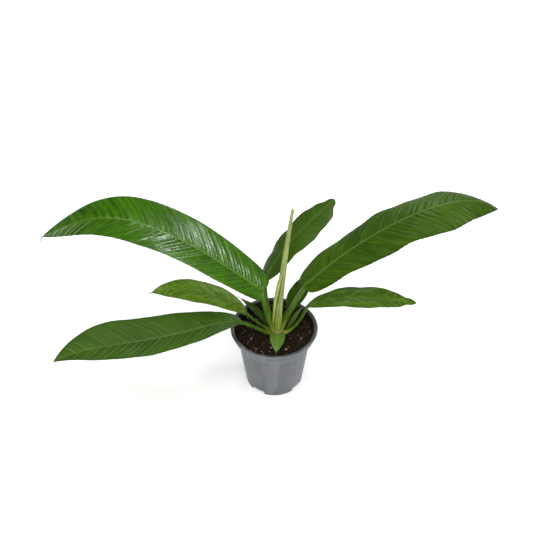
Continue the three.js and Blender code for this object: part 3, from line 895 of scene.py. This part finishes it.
def pot(material, inside_material):
    """A thin-walled pot: rolled rim, collar, ledge, tapering wall and a notched foot ring."""
    outside, inside, below, highlit_edges = pot_section()
    section = outside + inside + below
    foot_inside = POT["foot_radius"] - POT["foot_width"]
    notches = list(notch_turns())
    steps = 240
    edge = 0.0016  # half the turn that a notch's side takes
    marks = [k * 2 * math.pi / steps for k in range(steps)]
    for low, high in notches:
        marks += [low - edge, low + edge, high - edge, high + edge]
    marks = np.array(sorted(m % (2 * math.pi) for m in marks))

    def in_notch(turn):
        return any(((turn - low) % (2 * math.pi)) < high - low for low, high in notches)

    points = []
    for radius, height in section:
        for turn in marks:
            r, z = radius, height
            if in_notch(turn) and height < NOTCH["height"] and radius > 30:
                z = NOTCH["height"] + 0.05 * height
                r = radius + (0.13 * NOTCH["height"] if radius > foot_inside + 1 else 0)
            points.append((r * math.sin(turn), -r * math.cos(turn), z))
    rows, columns = len(section), len(marks)
    faces = grid(rows, columns, wrap=True)[:, ::-1].tolist()
    i = (rows - 1) * columns
    faces += [[i + j, i + (j + 1) % columns, (j + 1) % columns, j] for j in range(columns)]

    first_inside, last_inside = len(outside) + 1, len(outside) + len(inside)
    rim_low = POT["height"] - POT["rim_thickness"]
    # The highlight marks say which edges get a painted highlight; mouth marks the rim's inner part that gets
    # painted shade.
    looks, mouth, edge_highlight = [], [], []
    for row, (radius, height) in enumerate(section):
        looks += [int(first_inside <= row < last_inside)] * columns
        mouth += [float(smooth_step(59.5 - radius, 0, 3.5)) * (height > rim_low)] * columns
        edge_highlight += [float((radius, height) in highlit_edges)] * columns
    piece = make("nursery_pot", points, faces, [material, inside_material], "pot", looks,
                 {"mouth": np.array(mouth), "edge_highlight": np.array(edge_highlight)})
    bpy.context.view_layer.update()
    drill(piece)
    piece.data.set_sharp_from_angle(angle=math.radians(35))
    return piece


def drill(piece):
    """Cuts the drain holes through the pot's floor."""
    floor_middle = POT["floor_height"] + POT["floor_thickness"] / 2
    for k in range(DRAIN["count"]):
        turn = k * 2 * math.pi / DRAIN["count"]
        middle = [DRAIN["circle"] * math.cos(turn), DRAIN["circle"] * math.sin(turn), floor_middle]
        bpy.ops.mesh.primitive_cylinder_add(vertices=32, radius=DRAIN["radius"] * MM, depth=6 * MM,
                                            location=(np.array(middle) + AXIS) * MM)
        cutter = bpy.context.active_object
        modifier = piece.modifiers.new("drain", "BOOLEAN")
        modifier.operation = "DIFFERENCE"
        modifier.solver = "EXACT"
        modifier.object = cutter
        depsgraph = bpy.context.evaluated_depsgraph_get()
        cut = bpy.data.meshes.new_from_object(piece.evaluated_get(depsgraph))
        piece.modifiers.clear()
        piece.data = cut
        bpy.data.objects.remove(cutter)
    cut.name = piece.name


# ------------------------ the pieces

DEEP = leaf_material("leaf_deep", (0.016, 0.066, 0.001), (0.06, 0.185, 0.002), (0.15, 0.28, 0.04), 0.0,
                     gloss=0.25, shine=0.36, valley_shade=0.6)
LOWER = leaf_material("leaf_lower", (0.026, 0.074, 0.004), (0.056, 0.128, 0.009), (0.13, 0.22, 0.05),
                      0.55, gloss=0.4, shine=0.2, bands=0.5)
RIGHT = leaf_material("leaf_right", (0.008, 0.03, 0.001), (0.054, 0.124, 0.003), (0.15, 0.24, 0.06),
                      0.35, gloss=0.42, shine=0.07, bands=0.75, valley_shade=0.8)
BACK = leaf_material("leaf_back", (0.022, 0.058, 0.003), (0.046, 0.104, 0.006), (0.1, 0.17, 0.03), 0.1,
                     gloss=0.42, shine=0.12, bands=0.5)
MOTTLED = leaf_material("leaf_mottled", (0.036, 0.09, 0.003), (0.075, 0.165, 0.007), (0.15, 0.26, 0.04),
                        0.15, mottle=0.7, gloss=0.46, shine=0.14, bands=0.4)
YELLOWED = leaf_material("leaf_yellowed", (0.062, 0.14, 0.006), (0.125, 0.24, 0.016), (0.17, 0.28, 0.04),
                         0.15, mottle=0.8, mottled=(0.21, 0.35, 0.04), gloss=0.46, shine=0.16, bands=0.4)
FRONT = leaf_material("leaf_front_green", (0.07, 0.15, 0.012), (0.12, 0.22, 0.03), (0.2, 0.3, 0.07), 0.2)
UNDER = underside_material("leaf_under", (0.06, 0.14, 0.02), (0.1, 0.2, 0.035), (0.17, 0.28, 0.08))
STALK = stalk_material("stalk_green", (0.035, 0.092, 0.003), (0.088, 0.18, 0.009), (0.25, 0.34, 0.04), 20)
DRYING = leaf_material("leaf_drying", (0.03, 0.08, 0.004), (0.06, 0.14, 0.01), (0.13, 0.22, 0.05), 0.2,
                       margin=(0.17, 0.11, 0.05), margin_width=1.3)
TOPS = {
    "left_large": DEEP, "left_lower": LOWER, "left_small": YELLOWED, "right_small": MOTTLED,
    "front": FRONT, "right_narrow": DRYING, "left_inner": BACK, "back": BACK,
}
DRY = dry_material()

for place, leaf in LEAVES.items():
    blade(place, leaf, TOPS.get(place, RIGHT), UNDER)
    if "stalk" in leaf:
        stalk(place, leaf, STALK)

new_leaf(spear_material())
sheath(sheath_material())
stem(stem_material())
for name, bends, radius in (
    ("left_large", [(-2.2, -0.5, -3), (-4.5, -1, -11)], 0.8),
    ("left_small", [(-3, 0.5, -1.5), (-7.5, 1, -4)], 0.8),
    ("left_inner", [(-2, 1, 1), (-5, 2, 3)], 0.6),
    ("front", [(0, -4, 0.5), (-0.5, -11, 1.5)], 0.45),
):
    dry_thread(f"dry_point_{name}", LEAVES[name]["midrib"][-1], bends, radius, DRY)

soil(mix_material("mix_dark", (0.004, 0.003, 0.0015), (0.016, 0.01, 0.005), 700, 0.95,
                  (0.024, 0.014, 0.006)))
chunks("mix_crumbs", 900, 0.5, 1.7, 0.8,
       mix_material("mix_crumb", (0.005, 0.004, 0.002), (0.024, 0.016, 0.007), 900))
chunks("mix_bark", 130, 0.7, 2.4, 0.35,
       mix_material("mix_bark", (0.035, 0.017, 0.008), (0.1, 0.052, 0.024), 600))
chunks("mix_pale_chips", 60, 0.5, 1.4, 0.6,
       mix_material("mix_pale", (0.24, 0.17, 0.12), (0.5, 0.4, 0.32), 800))
chip_points, chip_faces = chunk(-42, -31, 3.0, 0.5)
chip_material = mix_material("mix_chip", (0.3, 0.24, 0.18), (0.55, 0.47, 0.38), 800)
make("mix_large_chip", chip_points, chip_faces, [chip_material], smooth=False)
fibres("mix_fibres", 260, mix_material("mix_fibre", (0.03, 0.02, 0.01), (0.12, 0.08, 0.04), 800))
pot(pot_material("pot_plastic", (0.074, 0.079, 0.091), (0.098, 0.104, 0.117), (0.158, 0.165, 0.18)),
    pot_material("pot_inside", (0.012, 0.012, 0.012), (0.02, 0.02, 0.02), (0.035, 0.033, 0.03)))

# ------------------------ floor, light and camera


def stage():
    """A pale floor that glows a little, so that it meets the white surroundings without an edge."""
    g = Graph("pale_floor")
    g.set(Base_Color=(0.97, 0.97, 0.97), Roughness=0.9, Emission_Color=(1, 1, 1), Emission_Strength=0.3)
    half = 6  # half the floor's side, metres
    corners = [(-half, -half, 0), (half, -half, 0), (half, half, 0), (-half, half, 0)]
    mesh = bpy.data.meshes.new("floor")
    mesh.from_pydata(corners, [], [(0, 1, 2, 3)])
    mesh.materials.append(g.material)
    floor = add("floor", mesh)


def light(name, place, size, power):
    """A soft box that faces the middle of the plant."""
    plant_middle = Vector((0, 0, 0.15))
    data = bpy.data.lights.new(name, "AREA")
    data.shape = "RECTANGLE"
    data.size, data.size_y = size
    data.energy = power
    lamp = add(name, data)
    lamp.location = place
    lamp.rotation_euler = (plant_middle - Vector(place)).to_track_quat("-Z", "Y").to_euler()


def lights():
    """Two small keys behind the plant for the leaves' gloss, a wide fill in front and a wide overhead."""
    light("key_right", (0.86, 0.6, 1.49), (0.22, 0.22), 9)
    light("key_back", (0.3, 1.48, 0.95), (0.2, 0.2), 4.5)
    light("fill", (0.2, -1.5, 1.3), (1.2, 0.9), 11)
    overhead = bpy.data.lights.new("overhead", "SUN")
    overhead.energy = 2.2
    overhead.angle = math.radians(75)
    add("overhead", overhead).rotation_euler = (math.radians(24), math.radians(-6), 0)
    surroundings()


def surroundings():
    """A world that looks white but lights the plant only faintly."""
    world = bpy.data.worlds.new("studio")
    world.use_nodes = True
    nodes, links = world.node_tree.nodes, world.node_tree.links
    seen = nodes.new("ShaderNodeLightPath").outputs["Is Camera Ray"]
    strength = nodes.new("ShaderNodeMapRange")
    strength.inputs["To Min"].default_value = 0.1
    strength.inputs["To Max"].default_value = 1.0
    links.new(seen, strength.inputs["Value"])
    links.new(strength.outputs[0], nodes["Background"].inputs["Strength"])
    nodes["Background"].inputs["Color"].default_value = (1, 1, 1, 1)
    bpy.context.scene.world = world
    bpy.context.scene.view_settings.view_transform = "Standard"


def camera():
    """In front of the plant and above it. Its elevation, target and lens come from the pot's fit."""
    data = bpy.data.cameras.new("camera")
    data.sensor_width = 36
    data.lens = 64.36
    cam = add("camera", data)
    elevation = math.radians(41.4)
    distance = 1.3
    target = (np.array([3.2, 0, 189.4]) + AXIS) * MM
    back = Vector((0, -math.cos(elevation), math.sin(elevation)))
    cam.location = Vector(target) + back * distance
    cam.rotation_euler = (-back).to_track_quat("-Z", "Y").to_euler()
    bpy.context.scene.camera = cam


stage()
lights()
camera()
